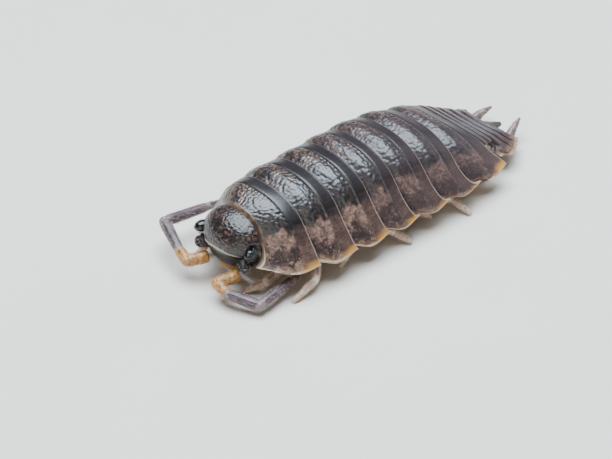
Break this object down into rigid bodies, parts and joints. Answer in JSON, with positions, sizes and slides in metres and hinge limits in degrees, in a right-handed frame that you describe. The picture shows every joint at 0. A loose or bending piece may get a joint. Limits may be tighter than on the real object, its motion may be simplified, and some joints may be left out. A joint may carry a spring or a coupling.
{
  "type": "woodlouse",
  "caption": "Life-size woodlouse with an arched, ringed body, swept-back side plates, elbowed feelers folded back and short tail forks, standing at rest",
  "frame": {"origin": "on the floor below the centre of the animal's outline, feet on the plane z = 0", "axes": "head towards -Y, tail towards +Y, the animal's left towards +X, back towards +Z"},
  "size_m": [0.007, 0.016, 0.0035],
  "materials": {
    "shell": "glossy mottled cuticle, dark brown with buff patches and pale rims",
    "head": "glossy blackish brown cuticle with brown flecks",
    "eye": "wet black, a cluster of small facets",
    "feeler": "lilac brown with a pale lengthwise sheen, ochre at the base",
    "leg": "translucent pale horn colour with brown clouds",
    "tail_fork": "satin greyish brown, paler towards the tip",
    "gill": "satin cream"
  },
  "bodies": {
    "root": {"trunk_ring_1": "shell", "trunk_ring_2": "shell", "trunk_ring_3": "shell", "trunk_ring_4": "shell", "trunk_ring_5": "shell", "trunk_ring_6": "shell", "trunk_ring_7": "shell", "tail_ring_1": "shell", "tail_ring_2": "shell", "tail_ring_3": "shell", "tail_ring_4": "shell", "tail_ring_5": "shell", "tail_plate": "shell", "gill_covers": "gill", "head": "head", "eye_left": "eye", "eye_right": "eye", "feeler_left": "feeler", "feeler_right": "feeler", "leg_left_1": "leg", "leg_right_1": "leg", "leg_left_2": "leg", "leg_right_2": "leg", "leg_left_3": "leg", "leg_right_3": "leg", "leg_left_4": "leg", "leg_right_4": "leg", "leg_left_5": "leg", "leg_right_5": "leg", "leg_left_6": "leg", "leg_right_6": "leg", "leg_left_7": "leg", "leg_right_7": "leg", "tail_fork_left": "tail_fork", "tail_fork_right": "tail_fork"}
  },
  "joints": []
}
